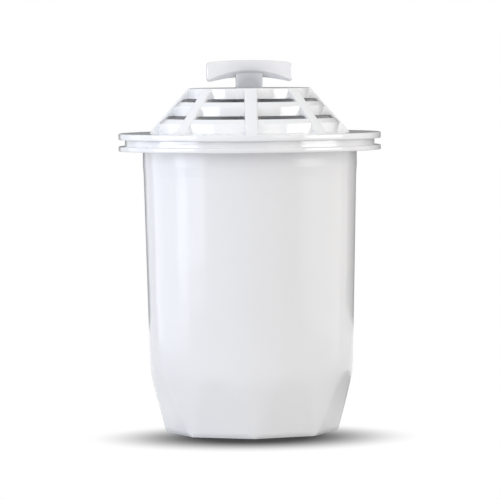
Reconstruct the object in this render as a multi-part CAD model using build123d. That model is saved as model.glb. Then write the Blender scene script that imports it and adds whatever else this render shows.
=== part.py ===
from build123d import *
import os
from math import radians, tan

# Water pitcher filter cartridge: a drafted cup of filter media under a louvred lid with a pull handle.
# Millimetres, +Z up. The origin is the centre of the foot, on the surface that the cartridge stands on.
# The pull handle's length lies along X, so its broad face looks towards -Y.

# Flange: two thin lips with an open groove between them, the lower one on the cup
flange_r = 45.0
lower_lip_h = 1.65
upper_lip_h = 2.15
groove_h = 2.25
groove_depth = 2.2
lower_lip_round = 0.6
upper_lip_round = 0.8

# Cup wall, from the face that rests in the pitcher down to the table
seat_z = 96.75
neck_r = 36.7
neck_h = 5.0
neck_step = 0.24
neck_flare_h = 3.2
wall = 1.6
draft_deg = 1.37
shoulder_z = 20.2
shoulder_blend_r = 26.0
taper_deg = 14.6

# Eight flats moulded into the taper, and the bevel round the foot
flat_count = 8
flat_cut = 1.85
flat_taper_deg = 18.6
foot_bevel_h = 1.2
foot_bevel_deg = 45.0
foot_ring_w = 2.2
foot_recess = 1.0

# Drain grid in the cup's floor
floor_t = 2.0
drain_hub_r = 4.0
drain_slot_w = 2.0
drain_rib_w = 2.2
drain_ring_count = 5
drain_spoke_w = 3.0

# Lid: disc, stepped louvre rings and eight ribs on a cone; a rib is a thin strap where it crosses a slot
upstand_w = 2.0
spigot_w = 2.0
cone_h = 15.3
disc_r = 20.7
disc_t = 1.6
disc_round = 0.5
skirt_h = 3.6
skirt_w = 1.5
slot_h = 1.05
ring_count = 2
ring_step = 5.15
ring_h = 4.7
ring_w = 1.5
ring_slope_h = 1.55
ring_round = 0.35
rib_count = 8
rib_w = 4.2
rib_proud = 0.12
rib_foot_reach = 3.3
rib_strap_t = 1.55
rib_round = 0.45

# Webs behind the ribs and a boss round the handle's tongue, which stand between the slots of both sides
web_w = 1.6
web_rise = 3.2
boss_w = 1.4
boss_gap = 0.7

# Pull handle: an arched bar on a stem, snapped through the lid's disc
bar_length = 29.1
bar_depth = 10.0
bar_top_rise = 9.5
bar_end_drop = 0.8
bar_face_end_rise = 2.4
bar_face_mid_rise = 6.1
bar_keel_end_rise = 1.9
bar_keel_mid_rise = 3.8
bar_keel_depth = 4.0
bar_corner_r = 1.2
bar_edge_round = 0.4
stem_w = 9.1
stem_depth = 8.0
tongue_w = 7.4
tongue_depth = 3.6
tongue_slit_w = 1.4
barb_reach = 0.8
barb_h = 2.2
barb_tip_drop = 0.5

# Filter stack, from the floor up
mesh_t = 0.8
outlet_pad_t = 3.0
resin_bed_h = 40.0
divider_pad_t = 2.5
carbon_bed_h = 40.0
inlet_pad_t = 3.5

# Clearances
wall_gap = 0.25
joint_gap = 0.25
snap_gap = 0.15

# Levels and radii that follow from the sizes above
lip_top_z = seat_z + lower_lip_h
plate_under_z = lip_top_z + groove_h
plate_z = plate_under_z + upper_lip_h
disc_z = plate_z + cone_h
groove_root_r = flange_r - groove_depth
neck_z = seat_z - neck_h
body_top_z = neck_z - neck_flare_h
body_top_r = neck_r - neck_step
shoulder_r = body_top_r - (body_top_z - shoulder_z) * tan(radians(draft_deg))
foot_r = shoulder_r - shoulder_z * tan(radians(taper_deg))
floor_z = foot_recess + floor_t
spigot_r = groove_root_r - upstand_w - joint_gap
skirt_z = disc_z - skirt_h
disc_under_z = disc_z - disc_t
web_z = plate_z + web_rise
boss_r = tongue_w / 2 + barb_reach + boss_gap + boss_w


def lathe(points):
    """Turns a closed outline of (radius, height, corner round) about the Z axis."""
    outline = FilletPolyline(*[(r, z) for r, z, _ in points], radius=[c for _, _, c in points], close=True)
    return revolve(Plane.XZ * make_face(outline), axis=Axis.Z)


def ring(inner_r, outer_r, low_z, high_z):
    """A plain ring with square edges."""
    return lathe([(inner_r, low_z, 0), (outer_r, low_z, 0), (outer_r, high_z, 0), (inner_r, high_z, 0)])


def flat_radius(z):
    """Distance from the axis to a flat of the taper at height z."""
    return foot_r - flat_cut + z * tan(radians(flat_taper_deg))


foot_flat_r = flat_radius(foot_bevel_h) - foot_bevel_h * tan(radians(foot_bevel_deg))


def polygon_frustum(low_z, low_r, high_z, high_r):
    """A frustum between two polygons given by the radius to their flats, with a corner under each rib."""
    sections = [
        Pos(0, 0, z) * RegularPolygon(r, flat_count, major_radius=False)
        for z, r in ((low_z, low_r), (high_z, high_r))
    ]
    return loft(sections, ruled=True)


def disc_at(z, radius, height):
    """A plain disc that stands on height z."""
    return Pos(0, 0, z) * Cylinder(radius, height, align=(Align.CENTER, Align.CENTER, Align.MIN))


def cup_form(inset):
    """The body up to the lower lip's top, with its eight flats, moved in by inset from the outer skin."""
    body = lathe([
        (0, 0, 0),
        (foot_r - inset, 0, 0),
        (shoulder_r - inset, shoulder_z, shoulder_blend_r),
        (body_top_r - inset, body_top_z, 0),
        (neck_r - inset, neck_z, 0),
        (neck_r - inset, lip_top_z, 0),
        (0, lip_top_z, 0),
    ])
    return body & polygon_frustum(0, flat_radius(0) - inset, lip_top_z, flat_radius(lip_top_z) - inset)


def foot_trim():
    """What the bevel takes off the foot's edge, so that the flats meet at corners on the table."""
    bevel = polygon_frustum(0, foot_flat_r, foot_bevel_h, flat_radius(foot_bevel_h))
    return disc_at(0, flange_r, foot_bevel_h) - bevel


def drain_slots():
    """Arc slots in rings round a hub, parted by one spoke under each corner of the foot."""
    pitch = drain_slot_w + drain_rib_w
    slots = Part()
    for i in range(drain_ring_count):
        inner_r = drain_hub_r + i * pitch
        slots += ring(inner_r, inner_r + drain_slot_w, foot_recess, floor_z)
    spoke = Box(foot_r, drain_spoke_w, floor_z, align=(Align.MIN, Align.CENTER, Align.MIN))
    for i in range(flat_count):
        slots -= Rot(0, 0, i * 360 / flat_count) * spoke
    return slots


def make_cup():
    """Cup with its lower lip, groove root and drain floor, moulded in one."""
    skin = cup_form(0) - foot_trim()
    lip = lathe([
        (0, seat_z, 0),
        (flange_r, seat_z, lower_lip_round),
        (flange_r, lip_top_z, lower_lip_round),
        (groove_root_r, lip_top_z, 0),
        (groove_root_r, plate_under_z, 0),
        (groove_root_r - upstand_w, plate_under_z, 0),
        (groove_root_r - upstand_w, lip_top_z, 0),
        (0, lip_top_z, 0),
    ])
    cavity = cup_form(wall) - disc_at(0, flange_r, floor_z)
    recess = disc_at(0, foot_flat_r - foot_ring_w, foot_recess)
    return skin + lip - cavity - recess - drain_slots()


def ring_outer_r(i):
    """Outer radius of ring i; number 0 is the disc with its skirt."""
    return disc_r + i * ring_step


def ring_foot_z(i):
    """Height at which ring i ends over a slot; number 0 is the skirt."""
    return skirt_z - i * (slot_h + ring_h)


def rib_slope():
    """How far the ribs' outer faces run outwards for each millimetre down, from the disc's edge to the plate."""
    return (ring_outer_r(ring_count) + rib_foot_reach - disc_r - rib_proud) / cone_h


def rib_outer_r(z):
    """Radius of the ribs' outer faces at height z."""
    return disc_r + rib_proud + (disc_z - z) * rib_slope()


def rib_side():
    """Side view of one rib: joined to each ring's wall, and left as a strap where it crosses a slot."""
    points = [(rib_outer_r(disc_z), disc_z), (rib_outer_r(plate_z), plate_z), (rib_outer_r(plate_z), plate_under_z)]
    inner = []
    for i in range(ring_count + 1):
        middle_r = ring_outer_r(i) - ring_w / 2
        top_z = disc_z if i == 0 else disc_z - (middle_r + rib_strap_t - rib_outer_r(disc_z)) / rib_slope()
        inner.append((middle_r, top_z))
        if i < ring_count:
            foot_z = ring_foot_z(i)
            inner += [(middle_r, foot_z), (rib_outer_r(foot_z) - rib_strap_t, foot_z)]
        else:
            inner.append((middle_r, plate_under_z))
    return make_face(Polyline(*points, *reversed(inner), close=True))


def make_rib():
    """One rib along +X, its outer edges rounded, with its foot in the lid's plate."""
    rib = extrude(Plane.XZ * rib_side(), rib_w / 2, both=True)
    face = rib.faces().filter_by(lambda f: f.normal_at().X > 0 and f.normal_at().Z > 0).sort_by(Axis.X)[-1]
    long_edges = face.edges().filter_by(Plane.XZ)
    top_edge = face.edges().filter_by(Axis.Y).sort_by(Axis.Z)[-1]
    return fillet(long_edges + [top_edge], rib_round)


def make_web():
    """One web along +X, from the boss out to the strap of the rib that it stands behind."""
    boss_middle_r = boss_r - boss_w / 2
    side = make_face(Polyline(
        (boss_middle_r, web_z),
        (boss_middle_r, disc_under_z),
        (rib_outer_r(disc_under_z) - rib_strap_t / 2, disc_under_z),
        (rib_outer_r(web_z) - rib_strap_t / 2, web_z),
        close=True,
    ))
    return extrude(Plane.XZ * side, web_w / 2, both=True)


def louvre_ring(i):
    """Standing ring i below the disc, its top edge sloped outwards; the last one stands in the lid's plate."""
    outer_r = ring_outer_r(i)
    top_z = ring_foot_z(i - 1) - slot_h
    low_z = plate_under_z if i == ring_count else ring_foot_z(i)
    return lathe([
        (outer_r - ring_w, low_z, 0),
        (outer_r, low_z, 0),
        (outer_r, top_z - ring_slope_h, ring_round),
        (outer_r - ring_w, top_z, 0),
    ])


def make_lid():
    """Louvred lid: disc, rings, ribs on webs, boss and the upper lip with its spigot, moulded in one."""
    disc = lathe([
        (0, disc_under_z, 0),
        (disc_r - skirt_w, disc_under_z, 0),
        (disc_r - skirt_w, skirt_z, 0),
        (disc_r, skirt_z, 0),
        (disc_r, disc_z, disc_round),
        (0, disc_z, 0),
    ])
    hole_r = ring_outer_r(ring_count) - ring_w
    plate = lathe([
        (hole_r, plate_under_z, 0),
        (flange_r, plate_under_z, upper_lip_round),
        (flange_r, plate_z, upper_lip_round),
        (hole_r, plate_z, 0),
    ])
    spigot = ring(spigot_r - spigot_w, spigot_r, lip_top_z + mesh_t, plate_under_z)
    boss = ring(boss_r - boss_w, boss_r, web_z, disc_under_z)
    lid = disc + plate + spigot + boss
    for i in range(1, ring_count + 1):
        lid += louvre_ring(i)
    spoke = make_rib() + make_web()
    for i in range(rib_count):
        lid += Rot(0, 0, i * 360 / rib_count) * spoke
    socket = Pos(0, 0, disc_z) * Box(tongue_w + 2 * snap_gap, tongue_depth + 2 * snap_gap, 3 * disc_t)
    return lid - socket


def bar_section(y, end_rise, mid_rise):
    """Face across the handle's bar at depth y, between its arched top and a lower arc."""
    half = bar_length / 2
    top_z = disc_z + bar_top_rise
    top_end_z = top_z - bar_end_drop
    low_end_z = disc_z + end_rise
    outline = (
        ThreePointArc((-half, top_end_z), (0, top_z), (half, top_end_z))
        + Line((half, top_end_z), (half, low_end_z))
        + ThreePointArc((half, low_end_z), (0, disc_z + mid_rise), (-half, low_end_z))
        + Line((-half, low_end_z), (-half, top_end_z))
    )
    face = make_face(outline)
    face = fillet(face.vertices(), bar_corner_r)
    return Plane.XZ.offset(-y) * face


def make_handle():
    """Pull handle: bar with a keeled underside, stem, and a split tongue with two barbs."""
    front = bar_section(-bar_depth / 2, bar_face_end_rise, bar_face_mid_rise)
    keel_front = bar_section(-bar_keel_depth / 2, bar_keel_end_rise, bar_keel_mid_rise)
    keel_back = bar_section(bar_keel_depth / 2, bar_keel_end_rise, bar_keel_mid_rise)
    back = bar_section(bar_depth / 2, bar_face_end_rise, bar_face_mid_rise)
    bar = loft([front, keel_front], ruled=True) + loft([keel_front, keel_back], ruled=True)
    bar += loft([keel_back, back], ruled=True)
    face_edges = bar.faces().sort_by(Axis.Y)[0].edges() + bar.faces().sort_by(Axis.Y)[-1].edges()
    bar = fillet(face_edges, bar_edge_round)
    stem_h = (bar_face_mid_rise + bar_top_rise) / 2
    stem = Pos(0, 0, disc_z) * Box(stem_w, stem_depth, stem_h, align=(Align.CENTER, Align.CENTER, Align.MIN))
    tip_z = disc_under_z - barb_h
    half = tongue_w / 2
    tongue_outline = make_face(Polyline(
        (-half, disc_z),
        (-half, disc_under_z),
        (-half - barb_reach, disc_under_z),
        (-half - barb_reach, disc_under_z - barb_tip_drop),
        (-half, tip_z),
        (half, tip_z),
        (half + barb_reach, disc_under_z - barb_tip_drop),
        (half + barb_reach, disc_under_z),
        (half, disc_under_z),
        (half, disc_z),
        close=True,
    ))
    tongue = extrude(Plane.XZ * tongue_outline, tongue_depth / 2, both=True)
    slit = Pos(0, 0, tip_z) * Box(
        tongue_slit_w, tongue_depth, disc_z - tip_z, align=(Align.CENTER, Align.CENTER, Align.MIN)
    )
    return bar + stem + tongue - slit


def make_stack():
    """The media and pads, seated one on the other from the drain floor up, a small gap in from the wall."""
    heights = {
        "outlet_mesh": mesh_t,
        "outlet_pad": outlet_pad_t,
        "resin_bed": resin_bed_h,
        "divider_pad": divider_pad_t,
        "carbon_bed": carbon_bed_h,
        "inlet_pad": inlet_pad_t,
    }
    room = cup_form(wall + wall_gap)
    layers = {}
    low_z = floor_z
    for name, thickness in heights.items():
        layers[name] = room & disc_at(low_z, flange_r, thickness)
        low_z += thickness
    return layers


def make_inlet_mesh():
    """Mesh disc clamped by the lid's spigot on the cup's lip."""
    return disc_at(lip_top_z, spigot_r, mesh_t)


pieces = {
    "housing_cup": make_cup(),
    "lid_grille": make_lid(),
    "pull_handle": make_handle(),
    "inlet_mesh": make_inlet_mesh(),
    **make_stack(),
}

os.makedirs("parts", exist_ok=True)
for node, solid in pieces.items():
    export_step(solid, f"parts/{node}.step")
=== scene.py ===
"""Looks of a water pitcher filter cartridge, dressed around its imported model.

The cup, the louvred lid, the pull handle and the inlet mesh are modelled here as fine meshes in the places
of their solids. The pieces' sizes are in millimetres, the studio's in metres, and every mesh is written in
metres in the model's frame.
"""

import logging
import math
from collections.abc import Sequence
from dataclasses import dataclass
from enum import Enum
from typing import Any

import bpy
import numpy as np
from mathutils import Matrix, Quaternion, Vector


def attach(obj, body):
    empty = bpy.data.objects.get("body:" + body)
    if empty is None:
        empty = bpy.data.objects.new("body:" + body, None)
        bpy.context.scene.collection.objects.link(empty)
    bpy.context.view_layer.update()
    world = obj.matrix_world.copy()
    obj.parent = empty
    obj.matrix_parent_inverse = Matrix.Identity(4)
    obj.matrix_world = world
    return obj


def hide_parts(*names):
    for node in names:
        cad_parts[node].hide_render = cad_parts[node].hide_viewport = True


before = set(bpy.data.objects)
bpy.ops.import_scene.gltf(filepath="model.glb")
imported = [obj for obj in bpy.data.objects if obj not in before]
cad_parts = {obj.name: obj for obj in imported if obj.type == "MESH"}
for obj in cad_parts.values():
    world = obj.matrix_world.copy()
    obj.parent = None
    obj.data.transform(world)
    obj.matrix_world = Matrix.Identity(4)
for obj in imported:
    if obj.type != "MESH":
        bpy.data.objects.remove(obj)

LOG = logging.getLogger("filter_cartridge")
MM = 0.001
SECTORS = 8
SECTOR = 2 * math.pi / SECTORS
BODY = "root"
WHITE = (1.0, 1.0, 1.0, 1.0)

# Number of pieces in each rounded corner
ARC_STEPS = 5
# Points that differ by less than this become one
MERGE_MM = 1e-4
# Angle past which the edges of the housing shade sharp
CREASE_DEG = 32.0

# Vertices and faces of one closed mesh, and places or ranges of two and three numbers
Shell = tuple[np.ndarray, np.ndarray]
Pair = tuple[float, float]
Triple = tuple[float, float, float]


class Side(Enum):
    """Which side of the cup's wall a profile belongs to."""

    OUTSIDE = "outside"
    INSIDE = "inside"


class LampUse(Enum):
    """What a lamp does: it lights the cartridge, or it only shows in its gloss."""

    LIGHT = "light"
    HIGHLIGHT = "highlight"


class ShaderNode(Enum):
    """The shader nodes that the finishes and the studio are made of."""

    COORDINATES = "ShaderNodeTexCoord"
    MAPPING = "ShaderNodeMapping"
    NOISE = "ShaderNodeTexNoise"
    VORONOI = "ShaderNodeTexVoronoi"
    WAVE = "ShaderNodeTexWave"
    RAMP = "ShaderNodeValToRGB"
    RANGE = "ShaderNodeMapRange"
    MATHS = "ShaderNodeMath"
    VECTOR_MATHS = "ShaderNodeVectorMath"
    BUMP = "ShaderNodeBump"
    LIGHT_PATH = "ShaderNodeLightPath"
    MATT = "ShaderNodeBsdfDiffuse"
    GLOW = "ShaderNodeEmission"
    MIX = "ShaderNodeMixShader"
    BACKGROUND = "ShaderNodeBackground"
    MATERIAL_OUTPUT = "ShaderNodeOutputMaterial"
    WORLD_OUTPUT = "ShaderNodeOutputWorld"


Settings = dict[str | int, Any]


def linear(hex_colour: str) -> tuple[float, float, float, float]:
    """Turns an sRGB hex colour into linear values.

    Args:
        hex_colour: Six hex digits, red first.

    Returns:
        Linear red, green, blue and an alpha of 1.
    """
    channels = np.array([int(hex_colour[i : i + 2], 16) for i in (0, 2, 4)]) / 255
    values = np.where(channels <= 0.04045, channels / 12.92, ((channels + 0.055) / 1.055) ** 2.4)
    return (*(float(v) for v in values), 1.0)


def add_node(
    tree: Any, kind: ShaderNode, settings: Settings | None = None, links: Settings | None = None
) -> Any:
    """Adds one node to a tree, sets it up and links its inputs.

    Args:
        tree: Node tree that takes the node.
        kind: The node's type.
        settings: Node properties and input values. A name that is no property, or a number, is a socket's.
        links: Output sockets, by the name or number of the input that each one feeds.

    Returns:
        The new node.
    """
    node = tree.nodes.new(kind.value)
    for name, value in (settings or {}).items():
        if isinstance(name, str) and hasattr(node, name):
            setattr(node, name, value)
        else:
            node.inputs[name].default_value = value
    for name, socket in (links or {}).items():
        tree.links.new(socket, node.inputs[name])
    return node


def object_place(tree: Any) -> Any:
    """Adds a coordinates node and returns its socket for places on the object, in metres."""
    return add_node(tree, ShaderNode.COORDINATES).outputs["Object"]


def distance_from(tree: Any, shape: Settings) -> Any:
    """Adds nodes that measure how far a place lies from a point.

    Args:
        tree: Node tree that takes the nodes.
        shape: Location, the point with its sign turned and scaled, and Scale, the stretch along each axis.

    Returns:
        The output socket, in metres.
    """
    place = add_node(tree, ShaderNode.MAPPING, shape, {"Vector": object_place(tree)})
    away = {"Vector": place.outputs["Vector"]}
    return add_node(tree, ShaderNode.VECTOR_MATHS, {"operation": "LENGTH"}, away).outputs["Value"]


def add_bump(tree: Any, height: Any, depth_mm: float, strength: float = 1.0, invert: bool = False) -> None:
    """Lets a height from 0 to 1 raise the surface of a material.

    Args:
        tree: The material's node tree, with its principled shader.
        height: Output socket that gives the height.
        depth_mm: How high a 1 stands.
        strength: Share of the effect.
        invert: Whether a 1 is a dip.
    """
    settings = {"Distance": depth_mm * MM, "Strength": strength, "invert": invert}
    bump = add_node(tree, ShaderNode.BUMP, settings, {"Height": height})
    tree.links.new(bump.outputs["Normal"], tree.nodes["Principled BSDF"].inputs["Normal"])


def add_tones(tree: Any, share: Any, tones: tuple[tuple[float, str], ...]) -> None:
    """Colours a material by a share from 0 to 1.

    Args:
        tree: The material's node tree, with its principled shader.
        share: Output socket that gives the share.
        tones: Position and hex colour of each tone, in rising order.
    """
    ramp = add_node(tree, ShaderNode.RAMP, {}, {"Fac": share})
    elements = ramp.color_ramp.elements
    for position, _ in tones[1:-1]:
        elements.new(position)
    for element, (position, tone) in zip(elements, tones):
        element.position = position
        element.color = linear(tone)
    tree.links.new(ramp.outputs["Color"], tree.nodes["Principled BSDF"].inputs["Base Color"])


def new_material(name: str, settings: dict[str, Any]) -> tuple[Any, Any]:
    """Makes a material with one principled shader.

    Args:
        name: The material's name.
        settings: Values for the shader's own sockets.

    Returns:
        The material and its node tree.
    """
    material = bpy.data.materials.new(name)
    material.use_nodes = True
    tree = material.node_tree
    for socket, value in settings.items():
        tree.nodes["Principled BSDF"].inputs[socket].default_value = value
    return material, tree


def bare_tree(owner: Any) -> Any:
    """Turns on the nodes of a material or a world and clears them.

    Args:
        owner: The material or world.

    Returns:
        The empty node tree.
    """
    owner.use_nodes = True
    owner.node_tree.nodes.clear()
    return owner.node_tree


def placed(name: str, data: Any) -> Any:
    """Makes an object and links it into the scene.

    Args:
        name: The object's name.
        data: The mesh, lamp or camera that it shows.

    Returns:
        The object, at the origin.
    """
    item = bpy.data.objects.new(name, data)
    bpy.context.scene.collection.objects.link(item)
    return item


@dataclass(frozen=True)
class MouldedPolypropylene:
    """Injection-moulded polypropylene: waxy gloss with light that spreads a little under the skin."""

    name: str
    colour: str
    roughness: float
    scatter_weight: float
    scatter_mm: float
    flow_mm: float = 28.0
    sink_mm: float = 9.0
    sink_depth_mm: float = 0.05
    gloss_change: float = 0.05
    ior: float = 1.49
    scatter_tint: Triple = (1.0, 0.95, 0.9)
    flow_detail: float = 2.0
    sink_detail: float = 1.0

    def make(self) -> Any:
        """Builds the material.

        Returns:
            A material with faint flow clouds in its gloss and shallow sink in its surface.
        """
        material, tree = new_material(
            self.name,
            {
                "Base Color": linear(self.colour),
                "IOR": self.ior,
                "Subsurface Weight": self.scatter_weight,
                "Subsurface Radius": self.scatter_tint,
                "Subsurface Scale": self.scatter_mm * MM,
            },
        )
        place = object_place(tree)
        flow = {"Scale": 1 / (self.flow_mm * MM), "Detail": self.flow_detail}
        clouds = add_node(tree, ShaderNode.NOISE, flow, {"Vector": place})
        least = self.roughness - self.gloss_change / 2
        change = {"operation": "MULTIPLY_ADD", 1: self.gloss_change, 2: least}
        spread = add_node(tree, ShaderNode.MATHS, change, {0: clouds.outputs["Fac"]})
        tree.links.new(spread.outputs["Value"], tree.nodes["Principled BSDF"].inputs["Roughness"])
        waves = {"Scale": 1 / (self.sink_mm * MM), "Detail": self.sink_detail}
        sink = add_node(tree, ShaderNode.NOISE, waves, {"Vector": place})
        add_bump(tree, sink.outputs["Fac"], self.sink_depth_mm)
        return material


@dataclass(frozen=True)
class NaturalPolypropylene(MouldedPolypropylene):
    """Milky, uncoloured polypropylene, with painted shade that greys it towards the stem's foot."""

    shade_foot_z_mm: float = 118.1
    near_mm: float = 3.0
    far_mm: float = 13.0
    painted_shade_colour: str = "BABBC0"
    painted_half_shade_colour: str = "E5E5E8"

    def make(self) -> Any:
        """Builds the material.

        Returns:
            The moulded finish, with painted shade that clears away from the stem's foot, seen from the
            front.
        """
        material = super().make()
        tree = material.node_tree
        # Painted shade: darkest at the stem's foot, fading with distance in the XZ plane as seen from the
        # front
        foot = {"Location": (0.0, 0.0, -self.shade_foot_z_mm * MM), "Scale": (1.0, 0.0, 1.0)}
        span = {"From Min": self.near_mm * MM, "From Max": self.far_mm * MM}
        share = add_node(tree, ShaderNode.RANGE, span, {"Value": distance_from(tree, foot)})
        colours = (self.painted_shade_colour, self.painted_half_shade_colour, self.colour)
        add_tones(tree, share.outputs["Result"], tuple(zip((0.0, 0.5, 1.0), colours)))
        return material


@dataclass(frozen=True)
class WovenMonofilament:
    """Woven nylon monofilament: crossed threads, drawn coarser than real so that the weave shows."""

    name: str
    thread_colour: str
    gap_shade_colour: str
    pitch_mm: float
    thread_depth_mm: float = 0.15
    roughness: float = 0.45
    ior: float = 1.53
    gap_to: float = 0.45
    thread_from: float = 0.7

    def make(self) -> Any:
        """Builds the material.

        Returns:
            A material whose threads run along X and Y, with painted shade in the gaps where neither passes.
        """
        material, tree = new_material(self.name, {"Roughness": self.roughness, "IOR": self.ior})
        place = object_place(tree)
        # A wave texture repeats every pi / (10 * scale), so the scale is worked out from the thread pitch.
        scale = math.pi / (10 * self.pitch_mm * MM)
        threads = {}
        for i, axis in enumerate(("X", "Y")):
            bands = {"wave_type": "BANDS", "bands_direction": axis, "Scale": scale}
            threads[i] = add_node(tree, ShaderNode.WAVE, bands, {"Vector": place}).outputs["Fac"]
        cover = add_node(tree, ShaderNode.MATHS, {"operation": "MAXIMUM"}, threads).outputs["Value"]
        # Painted shade: the gaps between the threads are dark
        add_tones(tree, cover, ((self.gap_to, self.gap_shade_colour), (self.thread_from, self.thread_colour)))
        add_bump(tree, cover, self.thread_depth_mm)
        return material


@dataclass(frozen=True)
class PackedGrains:
    """Packed loose grains, from carbon chips to round resin beads, with painted shade in the gaps between
    them.
    """

    name: str
    grain_colour: str
    gap_shade_colour: str
    grain_mm: float
    roughness: float
    gap_from: float = 0.8
    relief: float = 0.8

    def make(self) -> Any:
        """Builds the material.

        Returns:
            A material whose cells are as large as the grains.
        """
        material, tree = new_material(self.name, {"Roughness": self.roughness})
        size = {"Scale": 1 / (self.grain_mm * MM)}
        cells = add_node(tree, ShaderNode.VORONOI, size, {"Vector": object_place(tree)}).outputs["Distance"]
        # Painted shade: darker towards each cell's edge, in the gaps between the grains
        add_tones(tree, cells, ((0.0, self.grain_colour), (self.gap_from, self.gap_shade_colour)))
        add_bump(tree, cells, self.grain_mm / 2, self.relief, invert=True)
        return material


@dataclass(frozen=True)
class NonWovenFelt:
    """Needled polyester felt: matt, with a soft random lay of fine fibres."""

    name: str
    colour: str
    shade: str
    fibre_mm: float = 0.6
    roughness: float = 0.9
    sheen: float = 0.3
    fibre_detail: float = 6.0
    tangle: float = 1.5
    shade_to: float = 0.3
    colour_from: float = 0.7
    relief: float = 0.7

    def make(self) -> Any:
        """Builds the material.

        Returns:
            A matt material with fibres in its tone and its surface.
        """
        material, tree = new_material(self.name, {"Roughness": self.roughness, "Sheen Weight": self.sheen})
        lay = {"Scale": 1 / (self.fibre_mm * MM), "Detail": self.fibre_detail, "Distortion": self.tangle}
        fibres = add_node(tree, ShaderNode.NOISE, lay, {"Vector": object_place(tree)}).outputs["Fac"]
        add_tones(tree, fibres, ((self.shade_to, self.shade), (self.colour_from, self.colour)))
        add_bump(tree, fibres, self.fibre_mm / 3, self.relief)
        return material


CUP_PLASTIC = MouldedPolypropylene(
    "white_polypropylene_cup", "F1F1F3", 0.13, 0.08, 2.5, sink_mm=16.0, sink_depth_mm=0.3
)
# The lid's white is lighter than the cup's partly as painted light, for the light its plate and rings throw
# on each other
LID_PLASTIC = MouldedPolypropylene("white_polypropylene_lid", "F5F6F8", 0.13, 0.05, 1.5)
HANDLE_PLASTIC = NaturalPolypropylene("natural_polypropylene_handle", "F0F0F2", 0.16, 0.3, 3.0)
MESH_CLOTH = WovenMonofilament("woven_nylon_mesh", "A9ADB2", "3A3D42", 0.9)
PAD_FELT = NonWovenFelt("needled_polyester_felt", "E9E8E2", "C9C8C0")
CARBON = PackedGrains("activated_carbon_granules", "26262A", "050506", 1.2, 0.7)
RESIN = PackedGrains("ion_exchange_resin_beads", "C99A4A", "6E4A1A", 0.7, 0.35)


def rounded_corners(
    before: np.ndarray, corners: np.ndarray, after: np.ndarray, radii: np.ndarray | float, limit: float
) -> np.ndarray:
    """Rounds corners, each by a quadratic Bezier curve between the points that an arc would touch.

    Those points lie the radius times the tangent of half the turn from the corner, and never farther than a
    share of the shorter run.

    Args:
        before: The point before each corner, shape (..., 2).
        corners: The corners.
        after: The point after each corner.
        radii: Corner radius in millimetres, for all corners or for each with a last axis of 1.
        limit: The largest share of a run that a corner may take.

    Returns:
        Points of shape (..., ARC_STEPS + 1, 2).
    """
    back, ahead = before - corners, after - corners
    run_in = np.linalg.norm(back, axis=-1, keepdims=True)
    run_out = np.linalg.norm(ahead, axis=-1, keepdims=True)
    cosine = (back * ahead).sum(-1, keepdims=True) / (run_in * run_out)
    half_turn = (math.pi - np.arccos(np.clip(cosine, -1, 1))) / 2
    reach = np.minimum(radii * np.tan(half_turn), limit * np.minimum(run_in, run_out))
    ends = corners + back / run_in * reach, corners, corners + ahead / run_out * reach
    a, corner, b = (points[..., None, :] for points in ends)
    t = np.linspace(0, 1, ARC_STEPS + 1)[:, None]
    return (1 - t) ** 2 * a + 2 * t * (1 - t) * corner + t**2 * b


def rounded_path(
    points: Sequence[Pair], rounds: Sequence[float], steps: Sequence[int], limit: float = 0.49
) -> np.ndarray:
    """Samples an open path with rounded corners.

    Args:
        points: The path's corners, as (radius, height) in millimetres.
        rounds: Corner radius at each point; the two ends take none.
        steps: Number of pieces that each run between corners is evenly cut into.
        limit: The largest share of a run that a corner may take.

    Returns:
        An array of shape (N, 2), as long for any two paths with as many points and the same steps.
    """
    p = np.array(points, float)
    arcs = rounded_corners(p[:-2], p[1:-1], p[2:], np.array(rounds[1:-1])[:, None], limit)
    run_from = [p[0], *arcs[:, -1]]
    run_to = [*arcs[:, 0], p[-1]]
    pieces = []
    for i, (a, b) in enumerate(zip(run_from, run_to)):
        share = np.linspace(0, 1, steps[i] + 1)[:-1, None]
        pieces.append(a + (b - a) * share)
        if i < len(arcs):
            pieces.append(arcs[i][:-1])
    pieces.append(p[-1:])
    return np.concatenate(pieces)


def rounded_polygons(corners: np.ndarray, radius: float, limit: float = 0.45) -> np.ndarray:
    """Rounds the corners of a stack of closed polygons.

    Args:
        corners: Corner points, shape (polygons, corners, 2), in order.
        radius: Corner radius in millimetres.
        limit: The largest share of a side that a corner may take.

    Returns:
        Points of shape (polygons, corners * (ARC_STEPS + 1), 2).
    """
    before, after = np.roll(corners, 1, axis=1), np.roll(corners, -1, axis=1)
    return rounded_corners(before, corners, after, radius, limit).reshape(len(corners), -1, 2)


def corner_columns(*corners: tuple[Any, Any]) -> np.ndarray:
    """Stacks corners, each given as two columns with a row for every polygon, for rounding."""
    return np.stack([np.stack(np.broadcast_arrays(*corner), -1) for corner in corners], axis=1)


def rounded_off(distance: np.ndarray, radius: float) -> np.ndarray:
    """How far a rounded edge draws a surface in at distance d from its end: r - sqrt(r^2 - (r - d)^2)."""
    return radius - np.sqrt(radius**2 - np.clip(radius - distance, 0, radius) ** 2)


def smooth_least(a: np.ndarray, b: np.ndarray, width: float) -> np.ndarray:
    """The lesser of a and b, blended where they differ by less than width: min(a, b) - h^2 width / 4."""
    h = np.maximum(width - np.abs(a - b), 0) / width
    return np.minimum(a, b) - h * h * width / 4


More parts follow.
